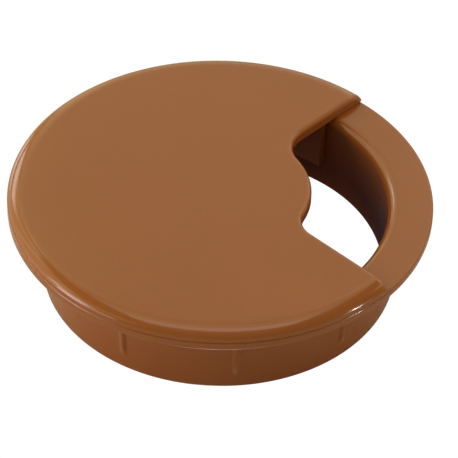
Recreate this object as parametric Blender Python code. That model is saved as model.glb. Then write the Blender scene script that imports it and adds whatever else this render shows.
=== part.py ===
"""Desk cable grommet: a flanged liner that is pressed into an 80 mm hole in a
desk top, and a notched lid whose legs slip into the liner, so that it turns.

Frame: +Z up, origin on the common axis at the bottom of the liner's tube, so
the grommet stands on Z = 0.  The lid's notch opens toward +X.
Numbers are in millimetres and are turned into metres by MM.
"""
import bpy
import math

MM = 0.001

# ---------------------------------------------------------------- dimensions
# liner
FLANGE_R = 45.0            # outside of the flange, 90 mm across
FLANGE_Z0 = 17.2           # underside of the flange, which rests on the desk
FLANGE_Z1 = 19.2           # face of the flange, which carries the lid
FLANGE_ROUND_TOP = 0.9
FLANGE_ROUND_LOW = 0.7
TUBE_R_TOP = 39.1          # tube is drafted, wider at the flange
TUBE_R_BOTTOM = 38.0
TUBE_ROUND = 0.5
BORE_R_TOP = 35.5
BORE_R_BOTTOM = 35.3
BORE_ROUND = 2.3           # rounding from the bore to the flange's face
RIB_COUNT = 10             # low ribs that centre the tube in the hole in the desk
RIB_FIRST = 5.9            # degrees from -Y toward +X
RIB_CREST_W = 0.6          # a rib is a low ridge, about 2 mm wide at the tube
RIB_SLOPE = 1.9            # half-width gained per unit of depth on its flanks
RIB_CREST_TOP = 39.48      # ribs measure 78.9 mm across under the flange, for
RIB_CREST_LOW = 38.75      # an 80 mm hole, and follow the tube's draft
RIB_Z0 = 3.8
RIB_LEAD = 2.4
# lid
GAP = 0.3                  # clearance between the lid and the flange's face
LID_R = 45.0
LID_Z0 = FLANGE_Z1 + GAP
LID_Z1 = 21.8              # top of the lid, and of the whole grommet
RIM_RUN = 3.7              # the lid's outer edge falls off over this width ...
RIM_DROP = 2.05            # ... by this height
# notch, in polar terms about the axis (degrees from +X toward +Y)
NOTCH_ANGLE_A = 46.5       # direction of the far side
NOTCH_SHIFT_A = -0.4       # distance of that side's line from the axis
NOTCH_ANGLE_B = -43.8      # direction of the near side
NOTCH_SHIFT_B = 2.9
NOTCH_CORNER_A = 7.3       # radius of the inner corners
NOTCH_CORNER_B = 5.5
LOBE_R = 19.2              # round hub that the notch leaves in the middle
EDGE_ROUND = 1.0           # rounding of the notch's upper edge
# under the lid
SKIRT_R0, SKIRT_R1 = 33.7, 35.1
SKIRT_Z0 = 16.4
LEG_R0, LEG_R1 = 33.3, 34.8
LEG_Z0 = 6.5
LEG_PAD_R = 35.05          # a raised pad near the tip runs along the bore
LEG_PAD_Z0, LEG_PAD_Z1 = 7.1, 9.3
LEG_SWEEP = 20.0
LEG_STARTS = (49.2, 120.5, 220.5, 290.5)
WEB_T = 1.2

SEG = 96                   # facets round the axis


# ------------------------------------------------------------------- helpers
def material(name, colour, roughness):
    m = bpy.data.materials.new(name)
    m.use_nodes = True
    b = m.node_tree.nodes["Principled BSDF"]
    b.inputs["Base Color"].default_value = (*colour, 1.0)
    b.inputs["Roughness"].default_value = roughness
    b.inputs["Metallic"].default_value = 0.0
    m.diffuse_color = (*colour, 1.0)
    return m


def make_object(name, verts, faces, mat=None):
    me = bpy.data.meshes.new(name)
    me.from_pydata([(x * MM, y * MM, z * MM) for x, y, z in verts], [], faces)
    me.validate()
    ob = bpy.data.objects.new(name, me)
    bpy.context.scene.collection.objects.link(ob)
    if mat is not None:
        me.materials.append(mat)
    return ob


def arc(cx, cy, r, a0, a1, n):
    """n + 1 points on an arc, angles in degrees."""
    return [(cx + r * math.cos(math.radians(a0 + (a1 - a0) * i / n)),
             cy + r * math.sin(math.radians(a0 + (a1 - a0) * i / n)))
            for i in range(n + 1)]


def turned(name, profile, mat=None, start=0.0, sweep=360.0, steps=SEG):
    """A closed (r, z) profile, counter-clockwise with r to the right,
    carried round the Z axis: a full ring, or a capped sector."""
    full = abs(sweep - 360.0) < 1e-9
    rings = steps if full else steps + 1
    k = len(profile)
    verts, faces = [], []
    for i in range(rings):
        a = math.radians(start + sweep * i / steps)
        verts += [(r * math.cos(a), r * math.sin(a), z) for r, z in profile]
    for i in range(steps):
        j = (i + 1) % rings
        for p in range(k):
            q = (p + 1) % k
            faces.append((i * k + p, j * k + p, j * k + q, i * k + q))
    if not full:
        faces.append(tuple(range(k)))
        faces.append(tuple(reversed(range(steps * k, steps * k + k))))
    return make_object(name, verts, faces, mat)


def guide(ob):
    ob.hide_render = True
    ob.display_type = 'WIRE'
    return ob


def boolean(ob, other, operation):
    m = ob.modifiers.new(other.name, 'BOOLEAN')
    m.operation = operation
    m.solver = 'EXACT'
    m.object = guide(other)


def smooth(ob, angle=35.0):
    ob.data.shade_smooth()
    ob.data.set_sharp_from_angle(angle=math.radians(angle))


# ------------------------------------------------------------ empty the scene
for old in list(bpy.data.objects):
    bpy.data.objects.remove(old, do_unlink=True)

brown_liner = material("brown_plastic_liner", (0.262, 0.112, 0.043), 0.26)
brown_lid = material("brown_plastic_lid", (0.275, 0.121, 0.042), 0.24)


# --------------------------------------------------------------------- liner
def tube_r(z):
    return TUBE_R_BOTTOM + (TUBE_R_TOP - TUBE_R_BOTTOM) * z / FLANGE_Z0


def bore_r(z):
    return BORE_R_BOTTOM + (BORE_R_TOP - BORE_R_BOTTOM) * z / FLANGE_Z1


liner_profile = []
# foot of the tube, from the bore to the outside
liner_profile += [(bore_r(0) + 0.3, 0.0)]
liner_profile += arc(tube_r(0) - TUBE_ROUND, TUBE_ROUND, TUBE_ROUND, -90, 0, 3)
# up the outside to the flange, with a small fillet under it
liner_profile += list(reversed(arc(TUBE_R_TOP + 0.4, FLANGE_Z0 - 0.4, 0.4, 90, 180, 2)))
# underside and edge of the flange
liner_profile += arc(FLANGE_R - FLANGE_ROUND_LOW, FLANGE_Z0 + FLANGE_ROUND_LOW,
                     FLANGE_ROUND_LOW, -90, 0, 4)
liner_profile += arc(FLANGE_R - FLANGE_ROUND_TOP, FLANGE_Z1 - FLANGE_ROUND_TOP,
                     FLANGE_ROUND_TOP, 0, 90, 3)
# round into the bore, and down its plain wall
liner_profile += arc(bore_r(FLANGE_Z1 - BORE_ROUND) + BORE_ROUND, FLANGE_Z1 - BORE_ROUND,
                     BORE_ROUND, 90, 180, 7)
liner_profile += [(bore_r(8.8), 8.8), (bore_r(0.3), 0.3)]
liner = turned("liner", liner_profile, brown_liner)


def low_rib(index):
    """A low ridge on the tube: tapered at its foot, sunk into the wall and
    into the flange so that it joins them.  Each flank is one plane."""
    a = math.radians(RIB_FIRST + 360.0 / RIB_COUNT * index - 90.0)
    radial = (math.cos(a), math.sin(a))
    across = (-math.sin(a), math.cos(a))
    z_low, z_top = RIB_Z0 + RIB_LEAD, FLANGE_Z0 + 0.5
    root = TUBE_R_BOTTOM - 0.6

    def crest(z):
        return RIB_CREST_LOW + (RIB_CREST_TOP - RIB_CREST_LOW) * (z - z_low) / (z_top - z_low)

    side = [(root, RIB_Z0 - 0.4), (tube_r(RIB_Z0) - 0.1, RIB_Z0 - 0.2),
            (crest(z_low), z_low), (crest(z_top), z_top), (root, z_top)]
    verts = []
    for sign in (-1, 1):
        for r, z in side:
            t = sign * (RIB_CREST_W / 2 + RIB_SLOPE * (crest(z) - r))
            verts.append((r * radial[0] + t * across[0],
                          r * radial[1] + t * across[1], z))
    k = len(side)
    faces = [tuple(reversed(range(k))), tuple(range(k, 2 * k))]
    faces += [(p, (p + 1) % k, k + (p + 1) % k, k + p) for p in range(k)]
    return make_object("rib_guide_%02d" % index, verts, faces)


for index in range(RIB_COUNT):
    boolean(liner, low_rib(index), 'UNION')
smooth(liner)


# ----------------------------------------------------------------------- lid
def side_frame(angle, shift, corner, sign):
    """Normal (toward the opening), direction and corner centre of one side."""
    a = math.radians(angle)
    u = (math.cos(a), math.sin(a))
    n = (sign * math.sin(a), -sign * math.cos(a))
    k = shift + corner
    s = math.sqrt((LOBE_R + corner) ** 2 - k * k)
    c = (n[0] * k + u[0] * s, n[1] * k + u[1] * s)
    return u, n, c, s


SIDE_A = side_frame(NOTCH_ANGLE_A, NOTCH_SHIFT_A, NOTCH_CORNER_A, 1)
SIDE_B = side_frame(NOTCH_ANGLE_B, NOTCH_SHIFT_B, NOTCH_CORNER_B, -1)


def side_distance(side, shift, x, y):
    """How far a point on the lid's rim is from one side of the notch.  The
    side runs outward only, so its line counts on the rim's near half."""
    u, n = side[0], side[1]
    e = shift - (n[0] * x + n[1] * y)
    if u[0] * x + u[1] * y < 0.0 or e < -0.01:
        return LID_R
    return e


def lid_outline(rim_off, notch_off):
    """The lid's outline in plan, with its rim and its notch moved inward, as
    (x, y, distance from the notch's edge)."""
    r = LID_R - rim_off
    pts = []

    def along(side, shift):
        u, n, c, s0 = side
        k = shift - notch_off
        s1 = math.sqrt(r * r - k * k)
        # closer together where the side meets the rounded rim
        cuts = [0.0, 0.4, 0.72] + [1 - f / (s1 - s0) for f in (3.4, 2.4, 1.4, 0.5)] + [1.0]
        return [(n[0] * k + u[0] * (s0 + (s1 - s0) * t),
                 n[1] * k + u[1] * (s0 + (s1 - s0) * t), notch_off) for t in cuts]

    def corner(side, radius):
        u, n, c, s0 = side
        a0 = math.degrees(math.atan2(-n[1], -n[0])) % 360.0
        a1 = math.degrees(math.atan2(-c[1], -c[0])) % 360.0
        return [(x, y, notch_off) for x, y in arc(c[0], c[1], radius + notch_off, a0, a1, 8)]

    far = along(SIDE_A, NOTCH_SHIFT_A)
    near = along(SIDE_B, NOTCH_SHIFT_B)
    pts += list(reversed(far))[:-1]
    pts += corner(SIDE_A, NOTCH_CORNER_A)
    b0 = math.degrees(math.atan2(SIDE_A[2][1], SIDE_A[2][0]))
    b1 = math.degrees(math.atan2(SIDE_B[2][1], SIDE_B[2][0]))
    pts += [(x, y, notch_off) for x, y in arc(0, 0, LOBE_R - notch_off, b0, b1, 10)][1:-1]
    pts += list(reversed(corner(SIDE_B, NOTCH_CORNER_B)))
    pts += near[1:]
    # round the rim, clockwise, back to the far side
    a_end = math.degrees(math.atan2(far[-1][1], far[-1][0]))
    a_start = math.degrees(math.atan2(near[-1][1], near[-1][0]))
    sweep = (a_start - a_end) % 360.0
    cuts = [0.35 / r, 1.0 / r, 2.2 / r]
    first = [math.degrees(c) for c in cuts]
    n_mid = 72
    middle = [first[-1] + (sweep - 2 * first[-1]) * i / n_mid for i in range(1, n_mid)]
    for step in first + middle + [sweep - f for f in reversed(first)]:
        a = math.radians(a_start - step)
        x, y = r * math.cos(a), r * math.sin(a)
        pts.append((x, y, min(side_distance(SIDE_A, NOTCH_SHIFT_A, x, y),
                              side_distance(SIDE_B, NOTCH_SHIFT_B, x, y))))
    return pts


def edge_drop(distance, run, drop):
    if distance >= run:
        return 0.0
    t = 1.0 - max(distance, 0.0) / run
    return drop * (1.0 - math.sqrt(max(0.0, 1.0 - t * t)))


def lid_height(x, y, e):
    """Height of the lid's upper surface: flat, falling off at the rim and,
    over a smaller width, at the notch."""
    full = LID_Z1 - LID_Z0
    a = edge_drop(LID_R - math.hypot(x, y), RIM_RUN, RIM_DROP) / full
    b = edge_drop(e, EDGE_ROUND, EDGE_ROUND) / full
    return LID_Z1 - full * (1.0 - (1.0 - a) * (1.0 - b))


def build_lid():
    verts, faces = [], []
    loops = []
    bottom = [(x, y, LID_Z0) for x, y, e in lid_outline(0.0, 0.0)]
    count = len(bottom)
    loops.append(bottom)
    for deg in (90, 70, 50, 30, 12, 0):
        f = 1.0 - math.sin(math.radians(deg))
        loops.append([(x, y, lid_height(x, y, e))
                      for x, y, e in lid_outline(RIM_RUN * f, EDGE_ROUND * f)])
    for loop in loops:
        assert len(loop) == count
        verts += loop
    for k in range(len(loops) - 1):
        for i in range(count):
            j = (i + 1) % count
            faces.append((k * count + i, (k + 1) * count + i,
                          (k + 1) * count + j, k * count + j))
    top = (len(loops) - 1) * count
    faces.append(tuple(range(count)))
    faces.append(tuple(reversed(range(top, top + count))))
    return make_object("lid", verts, faces, brown_lid)


lid = build_lid()

# locating skirt under the lid, open where the notch is
skirt = turned("skirt_guide",
               [(SKIRT_R0, SKIRT_Z0 + 0.3), (SKIRT_R0 + 0.3, SKIRT_Z0),
                (SKIRT_R1 - 0.3, SKIRT_Z0), (SKIRT_R1, SKIRT_Z0 + 0.3),
                (SKIRT_R1, LID_Z0 + 0.7), (SKIRT_R0, LID_Z0 + 0.7)],
               start=51.5, sweep=259.0, steps=66)
boolean(lid, skirt, 'UNION')

# legs, each with a pad that bears lightly on the bore and holds the lid in
leg_profile = [(LEG_R0, LEG_Z0 + 0.3), (LEG_R0 + 0.3, LEG_Z0),
               (LEG_R1 - 0.3, LEG_Z0), (LEG_R1 - 0.05, LEG_Z0 + 0.25),
               (LEG_PAD_R, LEG_PAD_Z0 + 0.4), (LEG_PAD_R, LEG_PAD_Z1 - 0.4),
               (LEG_R1, LEG_PAD_Z1),
               (LEG_R1, LID_Z0 + 0.4), (LEG_R0, LID_Z0 + 0.4)]
for index, start in enumerate(LEG_STARTS):
    leg = turned("leg_guide_%d" % index, leg_profile, start=start, sweep=LEG_SWEEP, steps=5)
    boolean(lid, leg, 'UNION')
    # a thin web stiffens the root of the leg
    a = math.radians(start + LEG_SWEEP / 2)
    radial = (math.cos(a), math.sin(a))
    across = (-math.sin(a), math.cos(a))
    side = [(LEG_R0 + 0.6, 13.2), (LEG_R0 + 0.6, LID_Z0 + 0.55),
            (LEG_R0 - 2.6, LID_Z0 + 0.55), (LEG_R0 - 2.6, LID_Z0 - 0.6),
            (LEG_R0 - 0.1, 13.2)]
    verts = []
    for sign in (-1, 1):
        verts += [(r * radial[0] + sign * WEB_T / 2 * across[0],
                   r * radial[1] + sign * WEB_T / 2 * across[1], z) for r, z in side]
    k = len(side)
    faces = [tuple(range(k)), tuple(reversed(range(k, 2 * k)))]
    faces += [(p, k + p, k + (p + 1) % k, (p + 1) % k) for p in range(k)]
    boolean(lid, make_object("web_guide_%d" % index, verts, faces), 'UNION')
smooth(lid)

# The lid turns about the common axis, which is the Z axis, so its origin,
# (0, 0, 0), is on its hinge.
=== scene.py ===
import bpy
import bmesh
import math
from mathutils import Matrix, Vector


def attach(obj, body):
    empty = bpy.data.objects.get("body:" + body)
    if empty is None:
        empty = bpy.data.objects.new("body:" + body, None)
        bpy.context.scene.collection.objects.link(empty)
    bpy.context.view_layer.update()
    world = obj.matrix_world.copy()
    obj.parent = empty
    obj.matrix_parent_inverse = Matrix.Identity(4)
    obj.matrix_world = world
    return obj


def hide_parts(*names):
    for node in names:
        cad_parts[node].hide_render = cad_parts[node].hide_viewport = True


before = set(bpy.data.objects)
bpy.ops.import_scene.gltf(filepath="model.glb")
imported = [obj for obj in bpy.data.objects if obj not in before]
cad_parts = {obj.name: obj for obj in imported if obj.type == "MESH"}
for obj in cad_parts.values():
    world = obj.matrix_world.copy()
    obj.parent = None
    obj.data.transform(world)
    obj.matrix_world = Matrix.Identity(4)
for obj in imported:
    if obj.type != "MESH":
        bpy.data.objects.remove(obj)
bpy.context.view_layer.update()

MM = 0.001

# ------------------------------------------------------------- dimensions, mm
# the same grommet as the frame's, so that every finer surface lies on it
FLANGE_R, FLANGE_Z0, FLANGE_Z1 = 45.0, 17.2, 19.2
FLANGE_ROUND_TOP, FLANGE_ROUND_LOW = 0.5, 0.45
TUBE_R_TOP, TUBE_R_BOTTOM, TUBE_ROUND = 39.1, 38.0, 0.5
BORE_R_TOP, BORE_R_BOTTOM, BORE_ROUND = 35.5, 35.3, 2.3
RIB_COUNT, RIB_FIRST = 10, 5.9
RIB_CREST_TOP, RIB_CREST_LOW = 39.53, 38.8
RIB_Z0, RIB_LEAD = 3.7, 2.4
LID_R, LID_Z0, LID_Z1 = 45.0, 19.24, 21.8      # the lid all but touches the flange
RIM_RUN, RIM_DROP = 3.7, 2.05
NOTCH_ANGLE_A, NOTCH_SHIFT_A, NOTCH_CORNER_A = 46.5, -0.4, 7.3
NOTCH_ANGLE_B, NOTCH_SHIFT_B, NOTCH_CORNER_B = -43.8, 2.9, 5.5
LOBE_R, EDGE_ROUND, LOW_ROUND = 19.2, 1.0, 0.1
SKIRT_R0, SKIRT_R1, SKIRT_Z0 = 33.7, 35.1, 16.4
LEG_R0, LEG_R1, LEG_Z0 = 33.3, 34.8, 6.5
LEG_PAD_R, LEG_PAD_Z0, LEG_PAD_Z1 = 35.05, 7.1, 9.3
LEG_SWEEP, LEG_STARTS, WEB_T = 20.0, (49.2, 120.5, 220.5, 290.5), 1.2


# ------------------------------------------------------------------- helpers
def make_object(name, verts, faces):
    me = bpy.data.meshes.new(name)
    me.from_pydata([(x * MM, y * MM, z * MM) for x, y, z in verts], [], faces)
    me.validate()
    ob = bpy.data.objects.new(name, me)
    bpy.context.scene.collection.objects.link(ob)
    return ob


def arc(cx, cy, r, a0, a1, n):
    return [(cx + r * math.cos(math.radians(a0 + (a1 - a0) * i / n)),
             cy + r * math.sin(math.radians(a0 + (a1 - a0) * i / n)))
            for i in range(n + 1)]


def smoothstep(a, b, x):
    t = min(1.0, max(0.0, (x - a) / (b - a)))
    return t * t * (3 - 2 * t)


def turned(name, profile, start, sweep, steps):
    """A closed (r, z) profile carried round the Z axis over a capped sector."""
    k = len(profile)
    verts, faces = [], []
    for i in range(steps + 1):
        a = math.radians(start + sweep * i / steps)
        verts += [(r * math.cos(a), r * math.sin(a), z) for r, z in profile]
    for i in range(steps):
        for p in range(k):
            q = (p + 1) % k
            faces.append((i * k + p, (i + 1) * k + p, (i + 1) * k + q, i * k + q))
    faces.append(tuple(range(k)))
    faces.append(tuple(reversed(range(steps * k, steps * k + k))))
    return make_object(name, verts, faces)


def joined_by_boolean(ob, others):
    """Unions or cuts the others into ob for good, and removes them."""
    for other, operation in others:
        m = ob.modifiers.new(other.name, 'BOOLEAN')
        m.operation = operation
        m.solver = 'EXACT'
        m.object = other
    bpy.context.view_layer.update()
    dg = bpy.context.evaluated_depsgraph_get()
    me = bpy.data.meshes.new_from_object(ob.evaluated_get(dg))
    old = ob.data
    ob.modifiers.clear()
    ob.data = me
    bpy.data.meshes.remove(old)
    for other, operation in others:
        data = other.data
        bpy.data.objects.remove(other, do_unlink=True)
        bpy.data.meshes.remove(data)


def shade(ob, angle):
    ob.data.shade_smooth()
    ob.data.set_sharp_from_angle(angle=math.radians(angle))


# -------------------------------------------------------------------- camera
yaw, pitch, roll = math.radians(0.283), math.radians(41.442), math.radians(1.425)
ahead = Vector((math.sin(yaw) * math.cos(pitch), math.cos(yaw) * math.cos(pitch), -math.sin(pitch)))
level = Vector((math.cos(yaw), -math.sin(yaw), 0.0))
up = level.cross(ahead)
right = level * math.cos(roll) + up * math.sin(roll)
over = up * math.cos(roll) - level * math.sin(roll)
cam_data = bpy.data.cameras.new("camera")
cam_data.sensor_fit = 'HORIZONTAL'
cam_data.sensor_width = 36.0
cam_data.lens = 36.0 * 2501.0 / 458.0
cam_data.clip_start, cam_data.clip_end = 0.01, 30.0
cam = bpy.data.objects.new("camera", cam_data)
bpy.context.scene.collection.objects.link(cam)
turn = Matrix((right, over, -ahead)).transposed()
cam.matrix_world = Matrix.Translation((0.0, -0.400979, 0.363779)) @ turn.to_4x4()
bpy.context.scene.camera = cam


# --------------------------------------------------------------------- liner
def tube_r(z):
    return TUBE_R_BOTTOM + (TUBE_R_TOP - TUBE_R_BOTTOM) * z / FLANGE_Z0


def bore_r(z):
    return BORE_R_BOTTOM + (BORE_R_TOP - BORE_R_BOTTOM) * z / FLANGE_Z1


def rib_height(z):
    """How far the crest of a rib stands off the tube at this height."""
    low = RIB_Z0 + RIB_LEAD
    if z <= RIB_Z0:
        return 0.0
    full = RIB_CREST_LOW + (RIB_CREST_TOP - RIB_CREST_LOW) * (z - low) / (FLANGE_Z0 + 0.5 - low)
    return max(0.0, (full - tube_r(z)) * min(1.0, (z - RIB_Z0) / RIB_LEAD))


def rib_section(t):
    """Cross-section of a rib: 1 on its rounded crest, 0 on the tube."""
    t = abs(t)
    flank = min(1.0, max(0.0, (0.95 - t) / 0.67))
    return flank - 0.07 * smoothstep(0.0, 0.34, t) * (1.0 - smoothstep(0.34, 0.7, t))


def build_liner():
    # (r, z, carries ribs), counter-clockwise with r to the right
    outline = [(r, z, False) for r, z in arc(bore_r(0) + 0.35, 0.35, 0.35, 180, 270, 4)]
    outline += [(36.1, 0.0, False), (36.8, 0.0, False)]
    outline += [(r, z, False) for r, z in arc(tube_r(0) - TUBE_ROUND, TUBE_ROUND, TUBE_ROUND, -90, 0, 7)]
    for z in (1.4, 2.4, 3.2, 3.55, 3.7, 3.85, 4.1, 4.5, 4.9, 5.3, 5.7, 5.95, 6.1, 6.25, 6.5, 7.0,
              8.0, 9.2, 10.4, 11.6, 12.8, 14.0, 15.0, 15.8, 16.3, 16.6):
        outline.append((tube_r(z), z, True))
    fillet = list(reversed(arc(TUBE_R_TOP + 0.4, FLANGE_Z0 - 0.4, 0.4, 90, 180, 5)))
    outline += [(r, z, True) for r, z in fillet]
    for r in (40.2, 41.2, 42.4, 43.4, 44.2):
        outline.append((r, FLANGE_Z0, False))
    outline += [(r, z, False) for r, z in arc(FLANGE_R - FLANGE_ROUND_LOW, FLANGE_Z0 + FLANGE_ROUND_LOW,
                                              FLANGE_ROUND_LOW, -90, 0, 10)]
    outline += [(r, z, False) for r, z in arc(FLANGE_R - FLANGE_ROUND_TOP, FLANGE_Z1 - FLANGE_ROUND_TOP,
                                              FLANGE_ROUND_TOP, 0, 90, 12)]
    for r in (44.2, 42.4, 41.0, 39.6, 38.6, 38.1):
        outline.append((r, FLANGE_Z1, False))
    outline += [(r, z, False) for r, z in arc(bore_r(FLANGE_Z1 - BORE_ROUND) + BORE_ROUND,
                                              FLANGE_Z1 - BORE_ROUND, BORE_ROUND, 90, 180, 20)]
    for z in (16.9, 16.0, 14.5, 12.5, 10.5, 8.5, 6.5, 4.5, 2.5, 1.2, 0.6):
        outline.append((bore_r(z), z, False))

    # azimuths: even, and closer together across each rib
    ribs = [(RIB_FIRST - 90.0 + 360.0 / RIB_COUNT * k) % 360.0 for k in range(RIB_COUNT)]
    per_mm = math.degrees(1.0 / 39.4)
    marks = []
    for c in ribs:
        for t in (0.0, 0.09, 0.16, 0.22, 0.28, 0.36, 0.48, 0.64, 0.8, 0.95, 1.06, 1.12, 1.2, 1.4):
            for s in ((-1, 1) if t else (1,)):
                marks.append((c + s * t * per_mm) % 360.0)
    for i in range(360):
        a = float(i)
        if min(abs((a - c + 180.0) % 360.0 - 180.0) for c in ribs) > 2.3:
            marks.append(a)
    marks = sorted(set(round(a, 6) for a in marks))

    verts, faces = [], []
    k = len(outline)
    for a in marks:
        near = min(ribs, key=lambda c: abs((a - c + 180.0) % 360.0 - 180.0))
        t = abs((a - near + 180.0) % 360.0 - 180.0) / per_mm
        w = rib_section(t) if t < 1.1 else 0.0
        ca, sa = math.cos(math.radians(a)), math.sin(math.radians(a))
        for r, z, carries in outline:
            if carries and w > 0.0:
                r = max(r, tube_r(z) + rib_height(z) * w)
            verts.append((r * ca, r * sa, z))
    n = len(marks)
    for i in range(n):
        j = (i + 1) % n
        for p in range(k):
            q = (p + 1) % k
            faces.append((i * k + p, j * k + p, j * k + q, i * k + q))
    return make_object("liner_moulding", verts, faces)


liner = build_liner()
# round marks of the mould's ejector pins, just sunk into the flange's underside
pins = []
for i in range(5):
    a = math.radians(-90.0 + RIB_FIRST + 18.0 + 72.0 * i)
    x, y = 42.15 * math.cos(a), 42.15 * math.sin(a)
    profile = [(x + 1.25 * math.cos(math.radians(d)), y + 1.25 * math.sin(math.radians(d)))
               for d in range(0, 360, 15)]
    m = len(profile)
    verts = [(px, py, FLANGE_Z0 - 0.5) for px, py in profile] + \
            [(px, py, FLANGE_Z0 + 0.12) for px, py in profile]
    faces = [tuple(reversed(range(m))), tuple(range(m, 2 * m))]
    faces += [(p, (p + 1) % m, m + (p + 1) % m, m + p) for p in range(m)]
    pins.append((make_object("pin_mark_%d" % i, verts, faces), 'DIFFERENCE'))
joined_by_boolean(liner, pins)
shade(liner, 33.0)


# ----------------------------------------------------------------------- lid
def side_frame(angle, shift, corner, sign):
    a = math.radians(angle)
    u = (math.cos(a), math.sin(a))
    n = (sign * math.sin(a), -sign * math.cos(a))
    k = shift + corner
    s = math.sqrt((LOBE_R + corner) ** 2 - k * k)
    c = (n[0] * k + u[0] * s, n[1] * k + u[1] * s)
    return u, n, c, s


SIDE_A = side_frame(NOTCH_ANGLE_A, NOTCH_SHIFT_A, NOTCH_CORNER_A, 1)
SIDE_B = side_frame(NOTCH_ANGLE_B, NOTCH_SHIFT_B, NOTCH_CORNER_B, -1)


def side_distance(side, shift, x, y):
    u, n = side[0], side[1]
    e = shift - (n[0] * x + n[1] * y)
    if u[0] * x + u[1] * y < 0.0 or e < -0.01:
        return LID_R
    return e


def lid_outline(rim_off, notch_off):
    r = LID_R - rim_off
    pts = []

    def along(side, shift):
        u, n, c, s0 = side
        k = shift - notch_off
        s1 = math.sqrt(r * r - k * k)
        cuts = [0.0, 0.12, 0.25, 0.38, 0.5, 0.62, 0.72]
        cuts += [1 - f / (s1 - s0) for f in (4.2, 3.6, 3.1, 2.6, 2.1, 1.7, 1.3, 0.95, 0.62, 0.36, 0.16)] + [1.0]
        return [(n[0] * k + u[0] * (s0 + (s1 - s0) * t),
                 n[1] * k + u[1] * (s0 + (s1 - s0) * t), notch_off) for t in cuts]

    def corner(side, radius):
        u, n, c, s0 = side
        a0 = math.degrees(math.atan2(-n[1], -n[0])) % 360.0
        a1 = math.degrees(math.atan2(-c[1], -c[0])) % 360.0
        return [(x, y, notch_off) for x, y in arc(c[0], c[1], radius + notch_off, a0, a1, 26)]

    far = along(SIDE_A, NOTCH_SHIFT_A)
    near = along(SIDE_B, NOTCH_SHIFT_B)
    pts += list(reversed(far))[:-1]
    pts += corner(SIDE_A, NOTCH_CORNER_A)
    b0 = math.degrees(math.atan2(SIDE_A[2][1], SIDE_A[2][0]))
    b1 = math.degrees(math.atan2(SIDE_B[2][1], SIDE_B[2][0]))
    pts += [(x, y, notch_off) for x, y in arc(0, 0, LOBE_R - notch_off, b0, b1, 34)][1:-1]
    pts += list(reversed(corner(SIDE_B, NOTCH_CORNER_B)))
    pts += near[1:]
    a_end = math.degrees(math.atan2(far[-1][1], far[-1][0]))
    a_start = math.degrees(math.atan2(near[-1][1], near[-1][0]))
    sweep = (a_start - a_end) % 360.0
    first = [math.degrees(f / r) for f in (0.12, 0.3, 0.55, 0.85, 1.2, 1.7, 2.3)]
    n_mid = 270
    middle = [first[-1] + (sweep - 2 * first[-1]) * i / n_mid for i in range(1, n_mid)]
    for step in first + middle + [sweep - f for f in reversed(first)]:
        a = math.radians(a_start - step)
        x, y = r * math.cos(a), r * math.sin(a)
        pts.append((x, y, min(side_distance(SIDE_A, NOTCH_SHIFT_A, x, y),
                              side_distance(SIDE_B, NOTCH_SHIFT_B, x, y))))
    return pts


def edge_drop(distance, run, drop):
    if distance >= run:
        return 0.0
    t = 1.0 - max(distance, 0.0) / run
    return drop * (1.0 - math.sqrt(max(0.0, 1.0 - t * t)))


def lid_height(x, y, e):
    full = LID_Z1 - LID_Z0
    a = edge_drop(LID_R - math.hypot(x, y), RIM_RUN, RIM_DROP) / full
    b = edge_drop(e, EDGE_ROUND, EDGE_ROUND) / full
    return LID_Z1 - full * (1.0 - (1.0 - a) * (1.0 - b))


def build_lid():
    verts, faces = [], []
    loops = []
    edge = [lid_height(x, y, e) - LID_Z0 for x, y, e in lid_outline(0.0, 0.0)]
    # flat underside, and a small rounding up to the side
    loops.append([(x, y, LID_Z0) for x, y, e in lid_outline(0.7, 0.7)])
    for deg in (0, 22, 45, 67, 90):
        off = LOW_ROUND * (1.0 - math.sin(math.radians(deg)))
        loops.append([(x, y, LID_Z0 + min(LOW_ROUND, 0.6 * h) * (1.0 - math.cos(math.radians(deg))))
                      for (x, y, e), h in zip(lid_outline(off, off), edge)])
    steps = 22
    for i in range(steps + 1):
        f = 1.0 - math.sin(math.radians(90.0 - 90.0 * i / steps))
        loops.append([(x, y, lid_height(x, y, e))
                      for x, y, e in lid_outline(RIM_RUN * f, EDGE_ROUND * f)])
    # flat rings inside the roundings keep the top's shading plane
    for extra in (0.15, 0.6):
        loops.append([(x, y, LID_Z1) for x, y, e in lid_outline(RIM_RUN + extra, EDGE_ROUND + extra)])
    count = len(loops[0])
    for loop in loops:
        assert len(loop) == count
        verts += loop
    for k in range(len(loops) - 1):
        for i in range(count):
            j = (i + 1) % count
            faces.append((k * count + i, (k + 1) * count + i,
                          (k + 1) * count + j, k * count + j))
    top = (len(loops) - 1) * count
    faces.append(tuple(range(count)))
    faces.append(tuple(reversed(range(top, top + count))))
    return make_object("lid_moulding", verts, faces)


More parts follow.
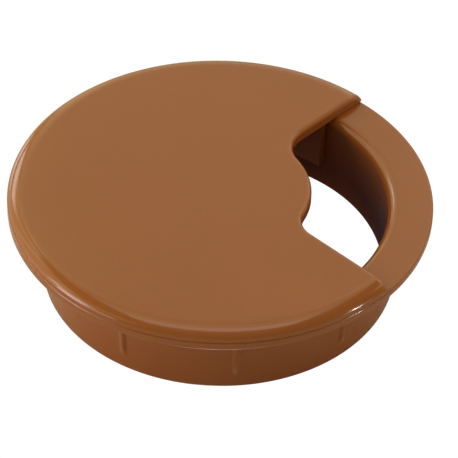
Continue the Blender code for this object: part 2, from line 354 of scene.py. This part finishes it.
lid = build_lid()
parts = []
skirt = [(SKIRT_R0, SKIRT_Z0 + 0.3), (SKIRT_R0 + 0.09, SKIRT_Z0 + 0.09), (SKIRT_R0 + 0.3, SKIRT_Z0),
         (SKIRT_R1 - 0.3, SKIRT_Z0), (SKIRT_R1 - 0.09, SKIRT_Z0 + 0.09), (SKIRT_R1, SKIRT_Z0 + 0.3),
         (SKIRT_R1, LID_Z0 + 0.7), (SKIRT_R0, LID_Z0 + 0.7)]
parts.append((turned("skirt_part", skirt, 51.5, 259.0, 220), 'UNION'))
leg_profile = [(LEG_R0, LEG_Z0 + 0.3), (LEG_R0 + 0.09, LEG_Z0 + 0.09), (LEG_R0 + 0.3, LEG_Z0),
               (LEG_R1 - 0.3, LEG_Z0), (LEG_R1 - 0.09, LEG_Z0 + 0.09), (LEG_R1 - 0.05, LEG_Z0 + 0.25),
               (LEG_PAD_R - 0.07, LEG_PAD_Z0 + 0.3), (LEG_PAD_R, LEG_PAD_Z0 + 0.6),
               (LEG_PAD_R, LEG_PAD_Z1 - 0.7), (LEG_PAD_R - 0.07, LEG_PAD_Z1 - 0.35),
               (LEG_R1, LEG_PAD_Z1), (LEG_R1, LID_Z0 + 0.4), (LEG_R0, LID_Z0 + 0.4)]
for index, start in enumerate(LEG_STARTS):
    parts.append((turned("leg_part_%d" % index, leg_profile, start, LEG_SWEEP, 20), 'UNION'))
    a = math.radians(start + LEG_SWEEP / 2)
    radial, across = (math.cos(a), math.sin(a)), (-math.sin(a), math.cos(a))
    side = [(LEG_R0 + 0.6, 13.2), (LEG_R0 + 0.6, LID_Z0 + 0.55), (LEG_R0 - 2.6, LID_Z0 + 0.55),
            (LEG_R0 - 2.6, LID_Z0 - 0.6), (LEG_R0 - 0.1, 13.2)]
    verts = []
    for sign in (-1, 1):
        verts += [(r * radial[0] + sign * WEB_T / 2 * across[0],
                   r * radial[1] + sign * WEB_T / 2 * across[1], z) for r, z in side]
    k = len(side)
    faces = [tuple(range(k)), tuple(reversed(range(k, 2 * k)))]
    faces += [(p, k + p, k + (p + 1) % k, (p + 1) % k) for p in range(k)]
    parts.append((make_object("web_part_%d" % index, verts, faces), 'UNION'))


def disc(name, x, y, r, z0, z1, r1=None):
    """A round slug or frustum, for gate and pin marks."""
    m = 28
    low = [(x + r * math.cos(2 * math.pi * i / m), y + r * math.sin(2 * math.pi * i / m), z0) for i in range(m)]
    s = r if r1 is None else r1
    high = [(x + s * math.cos(2 * math.pi * i / m), y + s * math.sin(2 * math.pi * i / m), z1) for i in range(m)]
    faces = [tuple(reversed(range(m))), tuple(range(m, 2 * m))]
    faces += [(p, (p + 1) % m, m + (p + 1) % m, m + p) for p in range(m)]
    return make_object(name, low + high, faces)


# gate scar in a shallow dimple at the middle, pin marks round it
parts.append((disc("gate_dimple", 0, 0, 2.6, LID_Z0 - 0.4, LID_Z0 + 0.25, 2.2), 'DIFFERENCE'))
parts.append((disc("gate_scar", 0, 0, 0.75, LID_Z0 - 0.02, LID_Z0 + 0.6, 0.95), 'UNION'))
for i, (d, r) in enumerate(((95, 25), (155, 25), (215, 25), (275, 25), (160, 11), (340, 11))):
    x, y = r * math.cos(math.radians(d)), r * math.sin(math.radians(d))
    parts.append((disc("pin_dimple_%d" % i, x, y, 1.6, LID_Z0 - 0.4, LID_Z0 + 0.12), 'DIFFERENCE'))
joined_by_boolean(lid, parts)
shade(lid, 33.0)


# ----------------------------------------------------------------- materials
def moulded_plastic(name, light, dark, seed, rough):
    """Glossy moulded plastic: faint cloudiness and speckle in the pigment,
    gloss that varies where the part is handled, and a very fine skin."""
    m = bpy.data.materials.new(name)
    m.use_nodes = True
    nt = m.node_tree
    bsdf = nt.nodes["Principled BSDF"]
    bsdf.inputs["IOR"].default_value = 1.48
    bsdf.inputs["Metallic"].default_value = 0.0
    m.diffuse_color = (*light, 1.0)

    def node(kind, **values):
        n = nt.nodes.new(kind)
        for key, value in values.items():
            setattr(n, key, value)
        return n

    coord = node("ShaderNodeTexCoord")

    def noise(scale, detail, roughness, offset):
        mapping = node("ShaderNodeMapping")
        mapping.inputs["Location"].default_value = offset
        nt.links.new(coord.outputs["Object"], mapping.inputs["Vector"])
        n = node("ShaderNodeTexNoise")
        n.inputs["Scale"].default_value = scale
        n.inputs["Detail"].default_value = detail
        n.inputs["Roughness"].default_value = roughness
        nt.links.new(mapping.outputs["Vector"], n.inputs["Vector"])
        return n.outputs["Fac"]

    def spread(value, lo, hi, out_lo, out_hi):
        r = node("ShaderNodeMapRange")
        r.inputs["From Min"].default_value = lo
        r.inputs["From Max"].default_value = hi
        r.inputs["To Min"].default_value = out_lo
        r.inputs["To Max"].default_value = out_hi
        nt.links.new(value, r.inputs["Value"])
        return r.outputs["Result"]

    def add(a, b, kind='ADD'):
        n = node("ShaderNodeMath", operation=kind)
        nt.links.new(a, n.inputs[0])
        if isinstance(b, float):
            n.inputs[1].default_value = b
        else:
            nt.links.new(b, n.inputs[1])
        return n.outputs["Value"]

    cloud = noise(38.0, 3.0, 0.5, (seed, 0.0, 0.3))            # 25 mm clouds
    speck = noise(2600.0, 2.0, 0.6, (0.0, seed, 0.1))          # 0.4 mm speckle
    handled = noise(130.0, 4.0, 0.6, (0.2, 0.0, seed))         # 8 mm smears
    skin = noise(5200.0, 2.0, 0.5, (seed, seed, 0.0))          # 0.2 mm skin
    wave = noise(95.0, 1.0, 0.4, (0.0, 0.0, seed))             # 10 mm sink and flow

    blend = add(spread(cloud, 0.3, 0.7, 0.0, 0.75), spread(speck, 0.3, 0.7, -0.12, 0.25))
    colour = node("ShaderNodeMix", data_type='RGBA', blend_type='MIX', clamp_factor=True)
    colour.inputs["A"].default_value = (*dark, 1.0)
    colour.inputs["B"].default_value = (*light, 1.0)
    nt.links.new(blend, colour.inputs["Factor"])
    nt.links.new(colour.outputs["Result"], bsdf.inputs["Base Color"])

    gloss = add(spread(handled, 0.35, 0.7, rough - 0.02, rough + 0.05), spread(speck, 0.3, 0.7, -0.015, 0.02))
    nt.links.new(gloss, bsdf.inputs["Roughness"])

    height = add(add(skin, 0.12, 'MULTIPLY'), wave)
    bump = node("ShaderNodeBump")
    bump.inputs["Strength"].default_value = 0.35
    bump.inputs["Distance"].default_value = 0.00006
    nt.links.new(height, bump.inputs["Height"])
    nt.links.new(bump.outputs["Normal"], bsdf.inputs["Normal"])
    return m


liner.data.materials.clear()
liner.data.materials.append(moulded_plastic("liner_brown", (0.266, 0.068, 0.0138), (0.25, 0.063, 0.0125), 0.37, 0.17))
lid.data.materials.clear()
lid.data.materials.append(moulded_plastic("lid_brown", (0.271, 0.07, 0.0142), (0.255, 0.065, 0.0128), 1.13, 0.12))

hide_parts("liner")
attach(liner, "liner")
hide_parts("lid")
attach(lid, "lid")

# ------------------------------------------------------------ floor and light
def stage_disc(name, hole, radius, z):
    me = bpy.data.meshes.new(name)
    m = 96
    rings = [radius] if hole is None else [hole, 0.05, 0.2, radius]
    verts = [(r * math.cos(2 * math.pi * i / m), r * math.sin(2 * math.pi * i / m), 0.0)
             for r in rings for i in range(m)]
    if hole is None:
        faces = [tuple(range(m))]
    else:
        faces = [(k * m + i, (k + 1) * m + i, (k + 1) * m + (i + 1) % m, k * m + (i + 1) % m)
                 for k in range(len(rings) - 1) for i in range(m)]
    me.from_pydata(verts, [], faces)
    ob = bpy.data.objects.new(name, me)
    ob.location = (0.0, 0.0, z)
    bpy.context.scene.collection.objects.link(ob)
    return ob


# the plain white floor that is seen, lit evenly, and open from below
floor = stage_disc("floor", None, 4.0, -0.0001)
white = bpy.data.materials.new("white_floor")
white.use_nodes = True
tree = white.node_tree
tree.nodes.clear()
glow = tree.nodes.new("ShaderNodeEmission")
glow.inputs["Color"].default_value = (1.0, 1.0, 1.0, 1.0)
glow.inputs["Strength"].default_value = 1.05
clear = tree.nodes.new("ShaderNodeBsdfTransparent")
side = tree.nodes.new("ShaderNodeNewGeometry")
pick = tree.nodes.new("ShaderNodeMixShader")
out = tree.nodes.new("ShaderNodeOutputMaterial")
tree.links.new(side.outputs["Backfacing"], pick.inputs["Fac"])
tree.links.new(glow.outputs["Emission"], pick.inputs[1])
tree.links.new(clear.outputs["BSDF"], pick.inputs[2])
tree.links.new(pick.outputs["Shader"], out.inputs["Surface"])
floor.data.materials.append(white)
floor.visible_diffuse = False
floor.visible_glossy = False
floor.visible_transmission = False
floor.visible_shadow = False

# the same floor as a reflector: it throws the room's light back at the outside
bounce = stage_disc("floor_bounce", 0.0368, 2.0, -0.0002)
paper = bpy.data.materials.new("white_paper")
paper.use_nodes = True
paper_bsdf = paper.node_tree.nodes["Principled BSDF"]
paper_bsdf.inputs["Base Color"].default_value = (0.6, 0.6, 0.6, 1.0)
paper_bsdf.inputs["Roughness"].default_value = 0.9
bounce.data.materials.append(paper)
bounce.visible_camera = False
bounce.visible_shadow = False

scene = bpy.context.scene
scene.view_settings.view_transform = 'Standard'
scene.view_settings.look = 'None'
scene.view_settings.exposure = 0.0
scene.view_settings.gamma = 1.0

world = bpy.data.worlds.new("studio")
scene.world = world
world.use_nodes = True
wt = world.node_tree
wt.nodes.clear()
w_coord = wt.nodes.new("ShaderNodeTexCoord")
w_split = wt.nodes.new("ShaderNodeSeparateXYZ")
wt.links.new(w_coord.outputs["Generated"], w_split.inputs["Vector"])
w_side = wt.nodes.new("ShaderNodeMapRange")          # 0 below the horizon, 1 above it
w_side.inputs["From Min"].default_value = -0.02
w_side.inputs["From Max"].default_value = 0.02
wt.links.new(w_split.outputs["Z"], w_side.inputs["Value"])
w_colour = wt.nodes.new("ShaderNodeMix")
w_colour.data_type = 'RGBA'
w_colour.inputs["A"].default_value = (0.0, 0.02, 0.04, 1.0)
w_colour.inputs["B"].default_value = (0.31, 0.33, 0.16, 1.0)
wt.links.new(w_side.outputs["Result"], w_colour.inputs["Factor"])
bg = wt.nodes.new("ShaderNodeBackground")
wt.links.new(w_colour.outputs["Result"], bg.inputs["Color"])
bg.inputs["Strength"].default_value = 1.0
bg_cam = wt.nodes.new("ShaderNodeBackground")
bg_cam.inputs["Color"].default_value = (1.0, 1.0, 1.0, 1.0)
bg_cam.inputs["Strength"].default_value = 1.05
path = wt.nodes.new("ShaderNodeLightPath")
w_mix = wt.nodes.new("ShaderNodeMixShader")
wt.links.new(path.outputs["Is Camera Ray"], w_mix.inputs["Fac"])
wt.links.new(bg.outputs["Background"], w_mix.inputs[1])
wt.links.new(bg_cam.outputs["Background"], w_mix.inputs[2])
w_out = wt.nodes.new("ShaderNodeOutputWorld")
wt.links.new(w_mix.outputs["Shader"], w_out.inputs["Surface"])


def softbox(name, azimuth, elevation, width, height, colour, distance=0.7):
    """A soft rectangular light that faces the object.  Azimuth is from the
    viewer's side, -Y, toward +X; width, height and azimuth are in degrees."""
    a, e = math.radians(azimuth), math.radians(elevation)
    d = Vector((math.sin(a) * math.cos(e), -math.cos(a) * math.cos(e), math.sin(e)))
    radiance = max(colour)
    data = bpy.data.lights.new(name, 'AREA')
    data.shape = 'RECTANGLE'
    data.size = 2 * distance * math.tan(math.radians(width / 2))
    data.size_y = 2 * distance * math.tan(math.radians(height / 2))
    data.color = [c / radiance for c in colour]
    data.energy = radiance * math.pi * data.size * data.size_y
    ob = bpy.data.objects.new(name, data)
    ob.visible_camera = False
    ob.rotation_mode = 'QUATERNION'
    ob.location = Vector((0.0, 0.0, 0.012)) + d * distance
    ob.rotation_quaternion = (-d).to_track_quat('-Z', 'Y')
    bpy.context.scene.collection.objects.link(ob)
    return ob


# a large soft source at the left, a slim one at the right, a bank overhead and
# the pale walls and ceiling behind them
for light in (
        ("front_high", 0, 67.5, 40, 23, (0.29, 0.1, 0.229)),
        ("top_strip", 0, 85, 40, 12, (2.05, 1.85, 1.55)),
        ("top_strip_b", 180, 86, 40, 6, (2.1, 2.1, 1.9)),
        ("top_back", 180, 76, 40, 14, (1.106, 1.21, 0.85)),
        ("back_high", 180, 55, 40, 28, (0.6, 0.76, 0.56)),
        ("back", 180, 22.5, 40, 37, (0.62, 0.78, 0.6)),
        ("left_a", -56, 7, 16, 24, (2.433, 2.302, 1.934)),
        ("left_core_low", -72, -1, 16, 8, (8.2, 8.1, 7.9)),
        ("left_core", -72, 11, 16, 16, (6.996, 6.907, 6.624)),
        ("left_core_high", -76, 25, 24, 12, (4.564, 4.613, 4.289)),
        ("left_b_low", -92, -1, 24, 8, (3.009, 2.96, 2.555)),
        ("left_b", -92, 11, 24, 16, (1.5, 1.4, 1.0)),
        ("left_c_low", -120, -1, 32, 8, (1.262, 1.356, 1.112)),
        ("left_c", -120, 11, 32, 16, (1.1, 1.15, 0.8)),
        ("left_up", -104, 34, 32, 30, (1.25, 1.22, 0.75)),
        ("left_far_up", -128, 34, 16, 30, (1.0, 0.95, 0.6)),
        ("left_top", -68, 40, 40, 18, (0.465, 0.763, 0.421)),
        ("back_left_core", -144, 25, 16, 12, (4.158, 4.303, 3.762)),
        ("back_left_low", -144, 3, 16, 16, (2.526, 2.8, 2.737)),
        ("back_left_up", -144, 40, 16, 18, (1.006, 0.978, 0.524)),
        ("back_left_b", -160, 25.5, 16, 57, (0.283, 0.33, 0.12)),
        ("right_strip", 68, 3, 8, 16, (0.6, 0.6, 0.6)),
        ("right_slit", 66, 6, 2.6, 6, (118.0, 115.0, 112.0)),
        ("right_strip_up", 68, 21, 8, 20, (0.7, 0.7, 0.72)),
        ("right_low", 104, 3, 32, 16, (0.9, 0.75, 0.6)),
        ("right_c", 112, 21, 48, 20, (0.636, 0.44, 0.22)),
        ("back_right_up", 120, 40, 32, 18, (1.836, 1.588, 1.051)),
        ("back_right_mid", 144, 21, 16, 20, (1.368, 1.375, 1.254)),
        ("back_right_up_b", 144, 40, 16, 18, (0.997, 0.871, 0.504)),
        ("back_right_far", 160, 25.5, 16, 57, (0.7, 0.35, 0.22)),
        ("from_below", 0, -90, 10, 10, (42.0, 42.0, 42.0))):
    softbox(*light)
